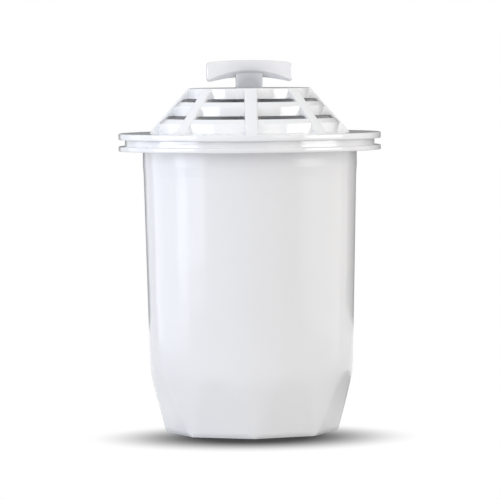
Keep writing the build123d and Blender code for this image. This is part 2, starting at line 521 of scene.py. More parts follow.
def sector_angles(radii: np.ndarray, offsets: np.ndarray, fill: int, least_radius: float) -> np.ndarray:
    """Angles of the columns round the axis, bunched along the ribs.

    Beside each rib the columns keep a set distance d from its middle line, so their angle at radius r is
    arcsin(d / r). Between two ribs they are spread evenly. Nearer the axis than least_radius they keep the
    angles that they have there.

    Args:
        radii: Radius in millimetres of each row, shape (rows, 1), or of each point, shape (rows, columns).
        offsets: Distances from the rib's middle line, from the most negative to the most positive.
        fill: Number of columns between two ribs.
        least_radius: Radius below which the columns run straight to the axis.

    Returns:
        An array of shape (rows, columns), in radians from +X.
    """
    r = np.maximum(radii[:, : len(offsets)], least_radius)
    beside = np.arcsin(offsets / r)
    last = beside[:, -1:]
    share = np.arange(1, fill + 1) / (fill + 1)
    one = np.concatenate([beside, last + (SECTOR - 2 * last) * share], axis=1)
    turns = np.arange(SECTORS)[None, :, None] * SECTOR
    return (one[:, None, :] + turns).reshape(len(radii), -1)


def around_axis(radii: np.ndarray, heights: np.ndarray, angles: np.ndarray) -> np.ndarray:
    """Points at the given cylinder coordinates, in metres: x = r cos a, y = r sin a, z = h."""
    points = np.broadcast_arrays(radii * np.cos(angles), radii * np.sin(angles), heights)
    return np.stack(points, axis=-1) * MM


def double_sheet(
    outer: np.ndarray, inner: np.ndarray, openings: tuple[np.ndarray, np.ndarray] | None = None
) -> Shell:
    """Closes two matching sheets into one perforated wall.

    A cell of the grid that is solid gives one face on each sheet. Where a solid cell borders an open one, a
    wall joins the two sheets along their common edge. The columns close round the axis.

    Args:
        outer: Points of the outer sheet, shape (rows, columns, 3).
        inner: Points of the inner sheet, of the same shape.
        openings: Which of the rows - 1 rows of cells, and which columns of cells in them, are open.

    Returns:
        The vertices, and the four corner numbers of each face.
    """
    rows, columns = outer.shape[:2]
    solid = np.ones((rows - 1, columns), bool)
    if openings:
        solid[np.ix_(*openings)] = False
    number = np.arange(rows * columns).reshape(rows, columns)
    right = np.roll(number, -1, axis=1)
    shift = rows * columns
    a, b, c, d = number[:-1], right[:-1], right[1:], number[1:]
    faces = [np.stack([a, b, c, d], -1)[solid], (np.stack([d, c, b, a], -1) + shift)[solid]]
    near, far = number[1:-1], right[1:-1]
    low, high = number[:-1], number[1:]
    left_solid = np.roll(solid, 1, axis=1)
    walls = (
        (near, far, solid[:-1] & ~solid[1:]),
        (far, near, ~solid[:-1] & solid[1:]),
        (high, low, left_solid & ~solid),
        (low, high, ~left_solid & solid),
    )
    for start, end, stands in walls:
        faces.append(np.stack([start, end, end + shift, start + shift], -1)[stands])
    return np.concatenate([outer.reshape(-1, 3), inner.reshape(-1, 3)]), np.concatenate(faces)


def swept_ring(sections: np.ndarray) -> Shell:
    """Joins a row of closed sections into a tube with flat ends.

    Args:
        sections: Points of each section, shape (sections, points, 3).

    Returns:
        The vertices, and the corner numbers of each face; each end is a fan round its middle point.
    """
    count, around = sections.shape[:2]
    number = np.arange(count * around).reshape(count, around)
    right = np.roll(number, -1, axis=1)
    sides = np.stack([number[:-1], right[:-1], right[1:], number[1:]], -1).reshape(-1, 4)
    middles = sections[[0, -1]].mean(1)
    first, last = count * around, count * around + 1
    start = np.stack([right[0], number[0], np.full(around, first), np.full(around, first)], -1)
    end = np.stack([number[-1], right[-1], np.full(around, last), np.full(around, last)], -1)
    return np.concatenate([sections.reshape(-1, 3), middles]), np.concatenate([sides, start, end])


def finished_piece(name: str, parts: list[Shell], material: Any, crease_deg: float = CREASE_DEG) -> Any:
    """Puts closed shells into one object, merges their seams and sets the shading.

    Args:
        name: The object's name.
        parts: Vertices and faces of each shell; a face whose last two corners are one is a triangle.
        material: The piece's material.
        crease_deg: Angle past which an edge shades sharp.

    Returns:
        The object, at the origin, riding on the part's body.
    """
    start, vertices, quads = 0, [], []
    for points, faces in parts:
        vertices.append(points)
        quads.append(faces + start)
        start += len(points)
    points = np.concatenate(vertices)
    corners = np.concatenate(quads)
    keys = np.round(points / (MERGE_MM * MM)).astype(np.int64)
    _, first, merged = np.unique(keys, axis=0, return_index=True, return_inverse=True)
    points, corners = points[first], merged.reshape(-1)[corners]
    follows = corners != np.roll(corners, -1, axis=1)
    sides = follows.sum(1)
    faces = [row[keep].tolist() for row, keep in zip(corners[sides >= 3], follows[sides >= 3])]
    mesh = bpy.data.meshes.new(name)
    mesh.from_pydata(points.tolist(), [], faces)
    mesh.validate()
    mesh.polygons.foreach_set("use_smooth", np.ones(len(mesh.polygons), bool))
    mesh.set_sharp_from_angle(angle=math.radians(crease_deg))
    mesh.materials.append(material)
    piece = placed(name, mesh)
    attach(piece, BODY)
    LOG.info("%s: %d faces", name, len(mesh.polygons))
    return piece


@dataclass
class Flange:
    """The two thin lips and the open groove between them, shared by the cup and the lid."""

    radius: float = 45.0
    seat_z: float = 96.75
    lower_lip: float = 1.65
    upper_lip: float = 2.15
    groove: float = 2.25
    root_radius: float = 42.8
    upstand: float = 2.0
    lower_round: float = 0.6
    upper_round: float = 0.8

    @property
    def lip_top(self) -> float:
        """Height of the lower lip's top."""
        return self.seat_z + self.lower_lip

    @property
    def plate_under(self) -> float:
        """Height of the upper lip's underside."""
        return self.lip_top + self.groove

    @property
    def plate_top(self) -> float:
        """Height of the upper lip's top."""
        return self.plate_under + self.upper_lip


@dataclass
class Cup:
    """The drafted cup: octagonal foot with a drain grid, shoulder, neck, lower lip and groove root.

    Attributes named for steps, rows, shares or columns only set where the mesh is divided.
    """

    flange: Flange
    wall: float = 1.6
    neck_radius: float = 36.7
    neck_height: float = 5.0
    neck_step: float = 0.24
    neck_flare: float = 3.2
    draft_deg: float = 1.37
    taper_deg: float = 14.6
    shoulder_z: float = 20.2
    shoulder_round: float = 26.0
    flat_cut: float = 1.85
    flat_taper_deg: float = 18.6
    bevel_height: float = 1.2
    foot_ring: float = 2.2
    recess: float = 1.0
    floor: float = 2.0
    ridge_round: float = 0.35
    drain_hub: float = 4.0
    drain_slot: float = 2.0
    drain_rib: float = 2.2
    drain_rings: int = 5
    spoke: float = 3.0
    spoke_columns: int = 5
    columns_between: int = 40
    corner_break: float = 0.1
    neck_blend: float = 3.0
    lip_root: float = 0.4
    mouth_round: float = 0.3
    groove_corner: float = 0.15
    flat_margin: float = 1.0
    flat_reach: float = 8.0
    lip_rows: tuple[float, ...] = (38.4, 40.0, 41.6, 43.2)
    floor_shares: tuple[float, ...] = (0.45, 0.9, 1.0)
    wall_steps: tuple[int, ...] = (2, 3, 30, 26, 2, 2)

    @property
    def shoulder_radius(self) -> float:
        """Radius where the drafted wall would meet the taper."""
        rise = self.flange.seat_z - self.neck_height - self.neck_flare - self.shoulder_z
        return self.neck_radius - self.neck_step - rise * math.tan(math.radians(self.draft_deg))

    @property
    def foot_radius(self) -> float:
        """Radius of the taper's cone on the table."""
        return self.shoulder_radius - self.shoulder_z * math.tan(math.radians(self.taper_deg))

    def flat_distance(self, heights: np.ndarray | float) -> Any:
        """Distance from the axis to the flats: it grows with height by the tangent of their taper."""
        return self.foot_radius - self.flat_cut + heights * math.tan(math.radians(self.flat_taper_deg))

    @property
    def bevel_foot(self) -> float:
        """Distance from the axis, on the table, of the bevels that rise at 45 degrees to the flats."""
        return self.flat_distance(self.bevel_height) - self.bevel_height

    def profile(self, side: Side) -> np.ndarray:
        """Path of one sheet of the wall, from the middle of the floor to the middle of the lip's edge.

        Args:
            side: The sheet that is wanted.

        Returns:
            Rows of (radius, height); both sheets have as many.
        """
        edges = self.drain_edges()
        lip, inset = self.flange, self.wall if side is Side.INSIDE else 0.0
        floor_z = self.recess + (self.floor if side is Side.INSIDE else 0.0)
        body_top = lip.seat_z - self.neck_height - self.neck_flare
        neck_low = lip.seat_z - self.neck_height
        lip_middle = lip.seat_z + lip.lower_lip / 2
        grid = [(0.0, floor_z)] + [(r, floor_z) for r in edges]
        wall = [
            (self.shoulder_radius - inset, self.shoulder_z),
            (self.neck_radius - self.neck_step - inset, body_top),
            (self.neck_radius - inset, neck_low),
        ]
        if side is Side.OUTSIDE:
            recess_r = self.bevel_foot - self.foot_ring
            foot = [(recess_r, floor_z), (recess_r, 0.0), (self.foot_radius, 0.0)]
            top = [(r, lip.seat_z) for r in (self.neck_radius, *self.lip_rows, lip.radius)]
            top.append((lip.radius, lip_middle))
            top_rounds = [self.lip_root, *[0.0] * len(self.lip_rows), lip.lower_round, 0.0]
        else:
            corner = self.foot_radius - inset + floor_z * math.tan(math.radians(self.taper_deg))
            beyond = corner - edges[-1]
            foot = [(edges[-1] + share * beyond, floor_z) for share in self.floor_shares]
            inner_top = lip.root_radius - lip.upstand
            top = [
                (self.neck_radius - inset, lip.lip_top),
                (inner_top, lip.lip_top),
                (inner_top, lip.plate_under),
                (lip.root_radius, lip.plate_under),
                (lip.root_radius, lip.lip_top),
                (lip.radius, lip.lip_top),
                (lip.radius, lip_middle),
            ]
            corners = [self.corner_break] * 3
            top_rounds = [self.mouth_round, *corners, self.groove_corner, lip.lower_round, 0.0]
        points = grid + foot + wall + top
        wall_rounds = [self.corner_break, self.shoulder_round - inset, self.neck_blend, self.neck_blend]
        rounds = [0.0] * (len(grid) + 2) + wall_rounds + top_rounds
        steps = [1] * len(grid) + [*self.wall_steps] + [2] * (len(top) - 2) + [1]
        return rounded_path(points, rounds, steps)

    def drain_edges(self) -> list[float]:
        """Works out the drain grid.

        Returns:
            Radii where its slots begin and end, from the hub outwards.
        """
        pitch = self.drain_slot + self.drain_rib
        starts = [self.drain_hub + i * pitch for i in range(self.drain_rings)]
        return [r for start in starts for r in (start, start + self.drain_slot)]

    def flattened(self, profile: np.ndarray, angles: np.ndarray, inset: float) -> np.ndarray:
        """Radius of each point once the flats and the foot's bevel are cut.

        The radius is the smooth least of three: the profile's own, and for the flats and the bevel the
        distance to the plane divided by the cosine of the angle from the middle of the flat. The cut is kept
        to the wall, from flat_margin inside it at the foot to flat_reach above the shoulder.

        Args:
            profile: Rows of (radius, height).
            angles: Angle of each point.
            inset: How far the planes are moved in.

        Returns:
            Radii of shape (rows, columns), the same as the profile's on the floor and above the shoulder.
        """
        r, z = profile[:, :1], profile[:, 1:]
        from_flat = (angles % SECTOR) - SECTOR / 2
        flats = (self.flat_distance(z) - inset) / np.cos(from_flat)
        bevels = (self.bevel_foot + z) / np.cos(from_flat) if inset == 0 else flats
        planes = smooth_least(flats, bevels, self.ridge_round)
        cut = smooth_least(np.broadcast_to(r, angles.shape), planes, self.ridge_round)
        least = self.foot_radius - self.wall - self.flat_margin
        on_wall = (r > least) & (z < self.shoulder_z + self.flat_reach)
        return np.where(on_wall, cut, r)

    def build(self, finish: MouldedPolypropylene) -> None:
        """Builds the cup, which stands for the housing's solid.

        Args:
            finish: What it is moulded from.
        """
        offsets = np.linspace(-0.5, 0.5, self.spoke_columns) * self.spoke
        sheets = []
        for side in Side:
            profile = self.profile(side)
            angles = sector_angles(profile[:, :1], offsets, self.columns_between, self.drain_hub)
            inset = self.wall if side is Side.INSIDE else 0.0
            sheets.append(around_axis(self.flattened(profile, angles, inset), profile[:, 1:], angles))
        rows, columns = sheets[0].shape[:2]
        column = np.arange(columns) % (len(offsets) + self.columns_between)
        off_spoke = column >= len(offsets) - 1
        edges = np.array(self.drain_edges())
        radius = self.profile(Side.OUTSIDE)[:, 0]
        middle = (radius[1:] + radius[:-1]) / 2
        in_slot = (np.searchsorted(edges, middle) % 2 == 1) & (np.arange(rows - 1) < self.floor_rows())
        wall = double_sheet(*sheets, (in_slot, off_spoke))
        piece = finished_piece("cup_moulding", [wall], finish.make())
        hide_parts("housing_cup")

    def floor_rows(self) -> int:
        """Number of rows of cells that lie within the drain grid: one arc and one run for each edge."""
        return len(self.drain_edges()) * (ARC_STEPS + 1) + 1


@dataclass
class LouvredLid:
    """The lid: top disc with its skirt, two stepped louvre rings, eight ribs on webs and the upper lip.

    Attributes named for a cut, rows, runs, steps or columns only divide the mesh.
    """

    flange: Flange
    cone_height: float = 15.3
    disc_radius: float = 20.7
    disc_thickness: float = 1.6
    disc_round: float = 0.5
    skirt_height: float = 3.6
    skirt_wall: float = 1.5
    slot: float = 1.05
    ring_step: float = 5.15
    ring_height: float = 4.7
    ring_wall: float = 1.5
    ring_slope: float = 1.55
    ring_round: float = 0.4
    edge_break: float = 0.15
    rib_width: float = 4.2
    rib_proud: float = 0.12
    rib_reach: float = 3.3
    rib_strap: float = 1.55
    rib_round: float = 0.5
    rib_side: float = 0.1
    rib_cut: float = 0.4
    web_width: float = 1.6
    web_rise: float = 3.2
    boss_bore: float = 5.2
    boss_radius: float = 6.6
    root_round: float = 0.5
    mesh_thickness: float = 0.8
    spigot: float = 2.0
    joint_gap: float = 0.25
    least_radius: float = 7.0
    columns_between: int = 26
    web_side: float = 0.1
    boss_cut: float = 0.5
    web_cut: float = 0.3
    wall_cut: float = 0.1
    plate_rows: tuple[float, ...] = (36.0, 38.6, 40.6, 42.0)
    slot_runs: tuple[int, int] = (7, 13)
    crown_steps: tuple[int, ...] = (2, 1, 1, 1, 3)
    wall_steps: tuple[int, int] = (3, 4)
    band_steps: tuple[int, ...] = (1, 1, 2, 1, 3)
    end_steps: tuple[int, ...] = (2, 1, 1, 1, 1, 1, 1)

    @property
    def disc_top(self) -> float:
        """Height of the disc's top."""
        return self.flange.plate_top + self.cone_height

    @property
    def disc_under(self) -> float:
        """Height of the disc's underside."""
        return self.disc_top - self.disc_thickness

    @property
    def last_ring(self) -> float:
        """Outer radius of the ring that stands in the plate."""
        return self.disc_radius + 2 * self.ring_step

    @property
    def rib_run(self) -> float:
        """How far the ribs' outer faces run outwards for each millimetre down."""
        return (self.last_ring + self.rib_reach - self.disc_radius - self.rib_proud) / self.cone_height

    def rib_line(self, z: float) -> float:
        """Radius of the ribs' outer faces at height z, on a line from the disc's edge to the plate."""
        return self.disc_radius + self.rib_proud + (self.disc_top - z) * self.rib_run

    def rib_height(self, radius: float) -> float:
        """Height at which the ribs' outer faces have this radius."""
        return self.disc_top - (radius - self.disc_radius - self.rib_proud) / self.rib_run

    @property
    def web_under(self) -> float:
        """Height of the underside of the webs and the boss."""
        return self.flange.plate_top + self.web_rise

    def bands(self) -> list[Triple]:
        """The louvre bands down the cone, each a wall, the slot under it and the ring that stands outside.

        Returns:
            For each band, the wall's radius, the height of its foot and the height of the ring's top.
        """
        skirt = self.disc_top - self.skirt_height
        first_foot = skirt - self.slot - self.ring_height
        walls = ((self.disc_radius, skirt), (self.disc_radius + self.ring_step, first_foot))
        return [(radius, foot, foot - self.slot) for radius, foot in walls]

    def slot_marks(self, top: float) -> tuple[float, float, float, float]:
        """Four heights through a slot: its top, just below that, just above its bottom, and its bottom."""
        return top, top - self.edge_break / 3, top - self.slot + self.edge_break / 3, top - self.slot

    def strap_middle(self, z: float) -> float:
        """Radius of the middle of a rib's strap where it crosses a slot."""
        return self.rib_line(z) - self.rib_strap / 2

    def outer_paths(self) -> tuple[np.ndarray, np.ndarray]:
        """Outer sheet between the ribs and on a rib.

        Between the ribs, the two middle points of each slot lie in the rib's strap, because the slot is open
        there and only the rib's side uses them.

        Returns:
            Two paths of (radius, height) with as many rows, from the disc's middle to the lip's edge.
        """
        lip, top = self.flange, self.disc_top
        over_boss = [r + cut for r in (self.boss_bore, self.boss_radius) for cut in (0.0, self.boss_cut)]
        crown = [(r, top) for r in (0.0, *over_boss)]
        plate = [(r, lip.plate_top) for r in (*self.plate_rows, lip.radius)]
        end = [*plate, (lip.radius, lip.plate_top - lip.upper_lip / 2)]
        between = [*crown, (self.disc_radius, top)]
        on_rib = [*crown, (self.rib_line(top), top)]
        rounds = [0.0] * len(crown) + [self.disc_round]
        for wall, foot, ring_top in self.bands():
            marks = self.slot_marks(foot)
            ring = wall + self.ring_step
            shoulder = ring_top - self.ring_slope
            between += [
                (wall, foot + self.edge_break),
                (wall, foot),
                *((self.strap_middle(z), z) for z in marks[1:3]),
                (ring - self.ring_wall + self.edge_break, ring_top),
                (ring, shoulder),
            ]
            on_rib += [(self.rib_line(z), z) for z in (foot + self.edge_break, *marks, shoulder)]
            rounds += [0.0] * len(self.band_steps) + [self.ring_round]
        between.append((self.last_ring, lip.plate_top))
        on_rib.append((self.rib_line(lip.plate_top), lip.plate_top))
        rounds += [self.root_round] + [0.0] * (len(plate) - 1) + [lip.upper_round, 0.0]
        bands = len(on_rib) - len(crown) - 2
        rib_rounds = [0.0] * len(crown) + [self.rib_round] + [0.0] * bands + rounds[len(on_rib) - 1 :]
        steps = self.steps()
        return rounded_path(between + end, rounds, steps), rounded_path(on_rib + end, rib_rounds, steps)

    def inner_paths(self) -> tuple[np.ndarray, np.ndarray, np.ndarray]:
        """Inner sheet between the ribs, behind a rib's strap, and under its web.

        Returns:
            Three paths of (radius, height) with as many rows, which match the outer ones row by row.
        """
        lip, under, web = self.flange, self.disc_under, self.web_under
        spigot_outer = lip.root_radius - lip.upstand - self.joint_gap
        spigot_low = lip.lip_top + self.mesh_thickness
        end = [
            (spigot_outer - self.spigot, lip.plate_under),
            (spigot_outer - self.spigot, spigot_low),
            (spigot_outer, spigot_low),
            (spigot_outer, lip.plate_under),
            (lip.radius, lip.plate_under),
            (lip.radius, lip.plate_top - lip.upper_lip / 2),
        ]
        skirt_inner = self.disc_radius - self.skirt_wall
        start = [(0.0, under), (self.boss_bore, under), (self.boss_bore, web), (self.boss_radius, web)]
        between = [*start, (self.boss_radius, under), (skirt_inner, under)]
        behind = list(between)
        below = [*start, (self.boss_radius + self.web_cut, web), (skirt_inner, web)]
        inner_wall = skirt_inner
        for wall, foot, ring_top in self.bands():
            marks = self.slot_marks(foot)
            ring_inner = wall + self.ring_step - self.ring_wall
            between += [
                (inner_wall, foot),
                (wall, foot),
                *((self.strap_middle(z), z) for z in marks[1:3]),
                (ring_inner + self.edge_break, ring_top),
                (ring_inner, ring_top - self.edge_break),
            ]
            behind += [
                (inner_wall, foot),
                *((self.rib_line(z) - self.rib_strap, z) for z in marks),
                (ring_inner, self.rib_height(ring_inner + self.rib_strap)),
            ]
            straps = (self.rib_line(z) - self.rib_strap for z in marks)
            reach = [inner_wall + self.wall_cut, *straps, ring_inner]
            below += [(r, web) for r in reach]
            inner_wall = ring_inner
        between.append((inner_wall, lip.plate_under))
        behind.append((inner_wall, lip.plate_under))
        below.append((inner_wall, lip.plate_under))
        rounds = [0.0] * (len(between) + len(end) - 2) + [lip.upper_round, 0.0]
        steps = self.steps()
        return tuple(rounded_path(path + end, rounds, steps) for path in (between, behind, below))

    def steps(self) -> list[int]:
        """Number of pieces in each of the 24 runs of the paths, from the disc's middle to the lip's edge."""
        bands = [step for wall in self.wall_steps for step in (wall, *self.band_steps)]
        return [*self.crown_steps, *bands, *self.end_steps]

    def slot_rows(self, rows: int) -> np.ndarray:
        """Which rows of cells are in a slot: three runs of each band, with the corners between them.

        Args:
            rows: Number of rows of points in a path.

        Returns:
            True for each row of cells that lies in a slot.
        """
        steps = np.array(self.steps())
        starts = np.concatenate([[0], np.cumsum(steps + ARC_STEPS)])
        marks = np.zeros(rows - 1, bool)
        for first in self.slot_runs:
            marks[starts[first] : starts[first + 2] + steps[first + 2]] = True
        return marks

    def offsets(self) -> tuple[np.ndarray, np.ndarray]:
        """Columns on one side of a rib: over its web, round its edge by a quarter circle, and past it.

        Returns:
            Their distances from the rib's middle line, and how far each drops below its crest.
        """
        half, web = self.rib_width / 2, self.web_width / 2
        turn = np.linspace(0, math.pi / 2, ARC_STEPS + 1)[1:]
        crest = [0.0, web, web + self.web_side, half - self.rib_round]
        edge = half - self.rib_round * (1 - np.sin(turn))
        foot = [half + self.rib_side, half + self.rib_cut]
        drop = [np.zeros(len(crest)), self.rib_round * (1 - np.cos(turn)), np.zeros(len(foot))]
        return np.concatenate([crest, edge, foot]), np.concatenate(drop)

    def build(self, finish: MouldedPolypropylene) -> None:
        """Builds the lid, which stands for the grille's solid.

        The outer sheet follows the rings between the ribs and the rib line on them. Across a rib its point
        is P + w (Q - P) - n drop, where w is 1 up to the rib's side and 0 past it, n is the rib line's
        normal, and drop is that of a quarter circle along the rib's edge. The inner sheet does the same, and
        under the web it takes the web's path.

        Args:
            finish: What it is moulded from.
        """
        one_side, drop_half = self.offsets()
        offsets = np.concatenate([-one_side[:0:-1], one_side])
        on_rib = self.spread_columns((one_side <= self.rib_width / 2).astype(float))[None, :, None]
        on_web = self.spread_columns((one_side <= self.web_width / 2).astype(float))[None, :, None]
        drop = self.spread_columns(drop_half)
        plain, ribbed = self.outer_paths()
        between, behind, below = (path[:, None, :] for path in self.inner_paths())
        outside = plain[:, None, :] + on_rib * (ribbed - plain)[:, None, :]
        from_top = np.clip((self.disc_top - ribbed[:, 1]) / self.rib_round, 0, 1)
        from_plate = np.clip((ribbed[:, 1] - self.flange.plate_top) / self.rib_round, 0, 1)
        slope = math.atan(self.rib_run)
        normal = np.array([math.cos(slope), math.sin(slope)])
        outside = outside - ((from_top * from_plate)[:, None] * drop[None, :])[..., None] * normal
        inside = between + on_rib * (behind - between) + on_web * (below - behind)
        sheets = []
        for path in (outside, inside):
            radii, heights = path[..., 0], path[..., 1]
            angles = sector_angles(radii, offsets, self.columns_between, self.least_radius)
            sheets.append(around_axis(radii, heights, angles))
        rows, columns = sheets[0].shape[:2]
        place = np.arange(columns) % (columns // SECTORS)
        beyond_rib = (place < 1) | (place >= len(offsets) - 2)
        wall = double_sheet(*sheets, (self.slot_rows(rows), beyond_rib))
        piece = finished_piece("lid_moulding", [wall], finish.make())
        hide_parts("lid_grille")

    def spread_columns(self, half: np.ndarray) -> np.ndarray:
        """Mirrors the values across a rib, adds none between the ribs, and repeats them for every sector."""
        one = np.concatenate([half[:0:-1], half, np.zeros(self.columns_between)])
        return np.tile(one, SECTORS)


@dataclass
class PullHandle:
    """The T-shaped pull: arched bar with a keeled underside on a stem, and the snap tongue below it.

    Attributes named for a cut, steps or stations only divide the mesh.
    """

    seat_z: float
    length: float = 29.1
    depth: float = 10.0
    top_rise: float = 9.5
    end_drop: float = 0.8
    face_end: float = 2.4
    face_middle: float = 6.1
    keel_end: float = 1.9
    keel_middle: float = 3.8
    keel_depth: float = 4.0
    corner_round: float = 1.2
    edge_round: float = 0.4
    stem_width: float = 9.1
    stem_depth: float = 8.0
    stem_round: float = 0.5
    stem_flare: float = 0.3
    stem_sunk: float = 0.8
    tongue_width: float = 7.4
    tongue_depth: float = 3.6
    slit: float = 1.4
    barb: float = 0.8
    barb_height: float = 2.2
    barb_edge: float = 0.5
    disc_thickness: float = 1.6
    tongue_sunk: float = 0.5
    stations: int = 72
    stem_cut: float = 0.9
    stem_steps: tuple[int, int] = (6, 8)
    crease_deg: float = 40.0

    def arc(self, x: np.ndarray, middle: float, end: float) -> np.ndarray:
        """Height of a circle's arc: its middle less R - sqrt(R^2 - x^2), where R follows from its ends.

        Args:
            x: Places along the bar.
            middle: Height at x = 0.
            end: Height at the bar's ends.

        Returns:
            The height at each place.
        """
        half = self.length / 2
        drop = middle - end
        radius = (half**2 + drop**2) / (2 * abs(drop))
        return middle - np.sign(drop) * (radius - np.sqrt(radius**2 - x**2))

    def bar(self) -> Shell:
        """The bar, as sections across its length.

        At each station x the section has six corners: the top edge at both faces, the lower edge at both
        faces and the keel between them. Towards the ends the section shrinks by a quarter circle for the
        rounded edge, and its top and bottom draw in by a second one for the corner's radius.

        Returns:
            Vertices and faces of a closed shell.
        """
        half = self.length / 2
        spread = np.linspace(-math.pi / 2, math.pi / 2, self.stations)
        x = half * np.sin(spread)
        to_end = half - np.abs(x)
        corner = rounded_off(to_end, self.corner_round)
        top = self.seat_z + self.arc(x, self.top_rise, self.top_rise - self.end_drop) - corner
        face = self.seat_z + self.arc(x, self.face_middle, self.face_end) + corner
        keel = self.seat_z + self.arc(x, self.keel_middle, self.keel_end) + corner
        y_face = self.depth / 2 - rounded_off(to_end, self.edge_round)
        y_keel = self.keel_depth / 2
        left = (-y_face, top), (-y_face, face), (-y_keel, keel)
        right = (y_keel, keel), (y_face, face), (y_face, top)
        outline = rounded_polygons(corner_columns(*left, *right), self.edge_round)
        along = np.broadcast_to(x[:, None, None], (*outline.shape[:2], 1))
        return swept_ring(np.concatenate([along, outline], axis=-1) * MM)

    def stem(self) -> Shell:
        """The stem, as rounded rectangles from the disc up into the bar, with a small flare where it stands.

        Returns:
            Vertices and faces of a closed shell.
        """
        flared, plain = self.stem_steps
        low = np.linspace(0, self.stem_flare, flared)
        high = np.linspace(self.stem_cut, self.face_middle + self.stem_sunk, plain)
        rise = np.concatenate([low, high])
        flare = rounded_off(rise, self.stem_flare)
        x, y = self.stem_width / 2 + flare, self.stem_depth / 2 + flare
        outline = rounded_polygons(corner_columns((-x, -y), (x, -y), (x, y), (-x, y)), self.stem_round)
        height = np.broadcast_to((self.seat_z + rise)[:, None, None], (*outline.shape[:2], 1))
        return swept_ring(np.concatenate([outline, height], axis=-1) * MM)

    def prong(self, side: int) -> Shell:
        """One half of the snap tongue: its outline in the XZ plane carried through its depth along Y.

        Args:
            side: -1 for the left prong, 1 for the right one.

        Returns:
            Vertices and faces of a closed shell.
        """
        inner, outer = self.slit / 2, self.tongue_width / 2
        under = self.seat_z - self.disc_thickness
        outline = np.array(
            [
                (inner, self.seat_z + self.tongue_sunk),
                (outer, self.seat_z + self.tongue_sunk),
                (outer, under),
                (outer + self.barb, under),
                (outer + self.barb, under - self.barb_edge),
                (outer, under - self.barb_height),
                (inner, under - self.barb_height),
            ]
        )
        if side < 0:
            outline = outline[::-1] * (-1, 1)
        y = np.array([0.5, -0.5]) * self.tongue_depth
        sections = np.stack([np.insert(outline, 1, value, axis=1) for value in y])
        return swept_ring(sections * MM)

    def build(self, finish: MouldedPolypropylene) -> None:
        """Builds the handle, which stands for its solid.

        Args:
            finish: What it is moulded from.
        """
        shells = [self.bar(), self.stem(), self.prong(-1), self.prong(1)]
        piece = finished_piece("pull_moulding", shells, finish.make(), self.crease_deg)
        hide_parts("pull_handle")


@dataclass
class InletMesh:
    """The mesh disc under the lid: fine cloth in a thin moulded rim.

    Attributes named for a cut, steps or columns only divide the mesh.
    """

    flange: Flange
    thickness: float = 0.8
    cloth: float = 0.3
    rim: float = 3.0
    gap: float = 0.25
    rounds: tuple[float, ...] = (0.0, 0.1, 0.15, 0.15, 0.0)
    steps: tuple[int, ...] = (10, 1, 2, 1)
    column_cut: float = 1.0
    least_radius: float = 5.0
    columns_between: int = 12

    def build(self, finish: WovenMonofilament) -> None:
        """Builds the disc, which stands for the mesh's solid.

        Args:
            finish: What its cloth is woven from.
        """
        edge = self.flange.root_radius - self.flange.upstand - self.gap
        low = self.flange.lip_top
        high = low + self.thickness
        field_low = low + (self.thickness - self.cloth) / 2
        field_high = field_low + self.cloth
        inner = edge - self.rim
        middle = (low + high) / 2
        offsets = np.array([-self.column_cut, 0.0, self.column_cut])
        sheets = []
        for field, face in ((field_high, high), (field_low, low)):
            points = [(0, field), (inner, field), (inner, face), (edge, face), (edge, middle)]
            path = rounded_path(points, self.rounds, self.steps)
            radii, heights = path[:, :1], path[:, 1:]
            angles = sector_angles(radii, offsets, self.columns_between, self.least_radius)
            sheets.append(around_axis(radii, heights, angles)[:, ::-1])
        piece = finished_piece("mesh_disc", [double_sheet(*sheets)], finish.make())
        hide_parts("inlet_mesh")


@dataclass
class FilterStack:
    """The pads and media inside the cup, which keep their solids and take their finishes."""

    pads: tuple[str, ...] = ("inlet_pad", "divider_pad", "outlet_pad")
    carbon: str = "carbon_bed"
    resin: str = "resin_bed"
    drain_mesh: str = "outlet_mesh"

    def dress(self) -> None:
        """Gives every layer its material."""
        felt = PAD_FELT.make()
        finishes = {name: felt for name in self.pads}
        finishes[self.carbon] = CARBON.make()
        finishes[self.resin] = RESIN.make()
        finishes[self.drain_mesh] = MESH_CLOTH.make()
        for name, material in finishes.items():
            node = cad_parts[name]
            node.data.materials.clear()
            node.data.materials.append(material)
            LOG.info("%s dressed in %s", name, material.name)


@dataclass(frozen=True)
class Softbox:
    """One rectangular lamp that looks at a point of the cartridge."""

    name: str
    place: Triple
    target: Triple
    width: float
    height: float
    power: float
    colour: str
    use: LampUse = LampUse.LIGHT

    def make(self) -> None:
        """Adds the lamp, hidden from the camera itself."""
        lamp = bpy.data.lights.new(self.name, "AREA")
        lamp.shape = "RECTANGLE"
        lamp.size, lamp.size_y = self.width, self.height
        lamp.energy = self.power
        lamp.color = linear(self.colour)[:3]
        light = placed(self.name, lamp)
        light.location = self.place
        look = Vector(self.target) - Vector(self.place)
        light.rotation_euler = look.to_track_quat("-Z", "Y").to_euler()
        light.visible_camera = False
        light.visible_diffuse = self.use is LampUse.LIGHT
        LOG.info("%s: %.1f W", self.name, self.power)


@dataclass(frozen=True)
class Gloss(Softbox):
    """A lamp that only shows in the gloss, as a card's reflection, and doesn't light matt surfaces."""

    use: LampUse = LampUse.HIGHLIGHT


